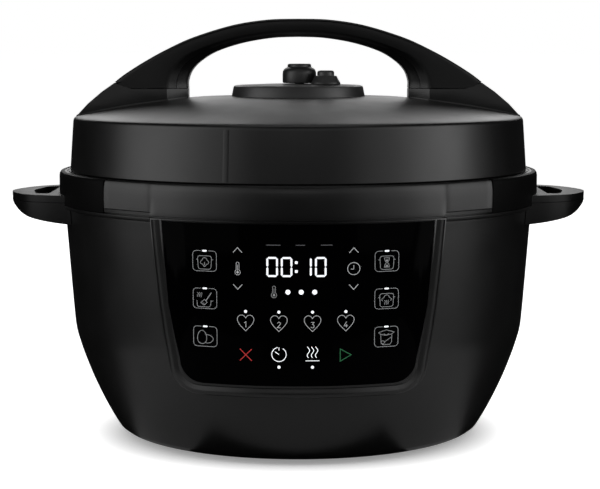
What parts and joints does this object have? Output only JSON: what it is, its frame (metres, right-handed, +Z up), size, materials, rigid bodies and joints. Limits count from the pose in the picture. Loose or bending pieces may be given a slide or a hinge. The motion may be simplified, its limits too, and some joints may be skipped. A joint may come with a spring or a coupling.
{
  "type": "electric pressure cooker",
  "caption": "Wide round electric pressure cooker with a touch panel, side handles, a twist-lock lid with an arched carrying handle and valves, and a removable inner pot.",
  "frame": {"origin": "centre of the object's outline on the floor, under the feet", "axes": "+X to the object's right-hand side as seen from the front, -Y towards the front panel, +Z up"},
  "size_m": [0.4096, 0.3392, 0.2947],
  "materials": {
    "body_black": "fine satin black moulding",
    "trim_black": "smooth dark black moulding",
    "panel_glass": "black polished touch panel",
    "circuit_board": "green laminate",
    "display_light": "white",
    "foot_rubber": "soft black",
    "steel": "brushed stainless",
    "cast_alloy": "cast and turned",
    "silicone": "translucent white silicone",
    "brass": "plated contact"
  },
  "bodies": {
    "cooker_base": {"outer_housing": "body_black", "upper_collar": "body_black", "panel_bezel": "trim_black", "control_panel_glass": "panel_glass", "display_tray": "trim_black", "display_board": "circuit_board", "led_display": "display_light", "right_handle_cover": "body_black", "right_handle_grip": "trim_black", "left_handle_cover": "body_black", "left_handle_grip": "trim_black", "base_plate": "body_black", "foot_1": "foot_rubber", "foot_2": "foot_rubber", "foot_3": "foot_rubber", "foot_4": "foot_rubber", "base_screw_1": "steel", "base_screw_2": "steel", "base_screw_3": "steel", "base_screw_4": "steel", "outer_pot": "steel", "heating_plate": "cast_alloy", "sensor_spring": "steel", "sensor_bracket": "steel", "thermal_fuse": "display_light", "pressure_switch": "trim_black", "power_board": "circuit_board", "power_relay": "trim_black", "transformer": "trim_black", "capacitor": "cast_alloy", "inlet_surround": "body_black", "power_inlet": "trim_black", "inlet_pin_live": "brass", "inlet_pin_neutral": "brass", "inlet_pin_earth": "brass"},
    "seal": {"sealing_ring": "silicone"},
    "lid": {"ring_rack": "steel", "inner_lid": "steel", "lid_cover": "body_black", "lid_screw_1": "steel", "lid_screw_2": "steel", "lid_screw_3": "steel", "anti_block_shield": "steel", "steam_pipe": "steel", "right_handle_mount": "body_black", "left_handle_mount": "body_black", "handle_arch": "body_black", "handle_underside": "trim_black", "valve_platform": "trim_black", "button_base": "trim_black", "button_spring": "steel"},
    "release_valve": {"steam_valve": "body_black"},
    "release_button": {"quick_release_button": "body_black"},
    "float_pin": {"float_valve": "steel", "float_valve_cap": "silicone"},
    "cooking_pot": {"inner_pot": "steel"},
    "pot_sensor": {"temperature_sensor": "cast_alloy"}
  },
  "joints": [
    {"name": "lid_lift", "type": "slide", "parent": "cooker_base", "child": "seal", "axis": [0, 0, 1], "range_m": [0, 0.34]},
    {"name": "lid_turn", "type": "hinge", "parent": "seal", "child": "lid", "pos_m": [0, 0, 0.188], "axis": [0, 0, 1], "range_deg": [0, 30]},
    {"name": "pot_lift", "type": "slide", "parent": "cooker_base", "child": "cooking_pot", "axis": [0, 0, 1], "range_m": [0, 0.17]},
    {"name": "steam_valve_lift", "type": "slide", "parent": "lid", "child": "release_valve", "axis": [0, 0, 1], "range_m": [0, 0.012]},
    {"name": "quick_release_press", "type": "slide", "parent": "lid", "child": "release_button", "axis": [0, 0, -1], "range_m": [0, 0.0035], "stiffness_N_per_m": 200, "springref_m": -0.002, "deforming": ["button_spring"]},
    {"name": "float_valve_rise", "type": "slide", "parent": "lid", "child": "float_pin", "axis": [0, 0, 1], "range_m": [0, 0.004]},
    {"name": "sensor_press", "type": "slide", "parent": "cooker_base", "child": "pot_sensor", "axis": [0, 0, 1], "range_m": [-0.0015, 0], "stiffness_N_per_m": 500, "springref_m": 0.002, "deforming": ["sensor_spring"]}
  ],
  "couplings": [
    {"joint": "pot_lift", "follows": "lid_lift", "ratio": 0.5}
  ]
}
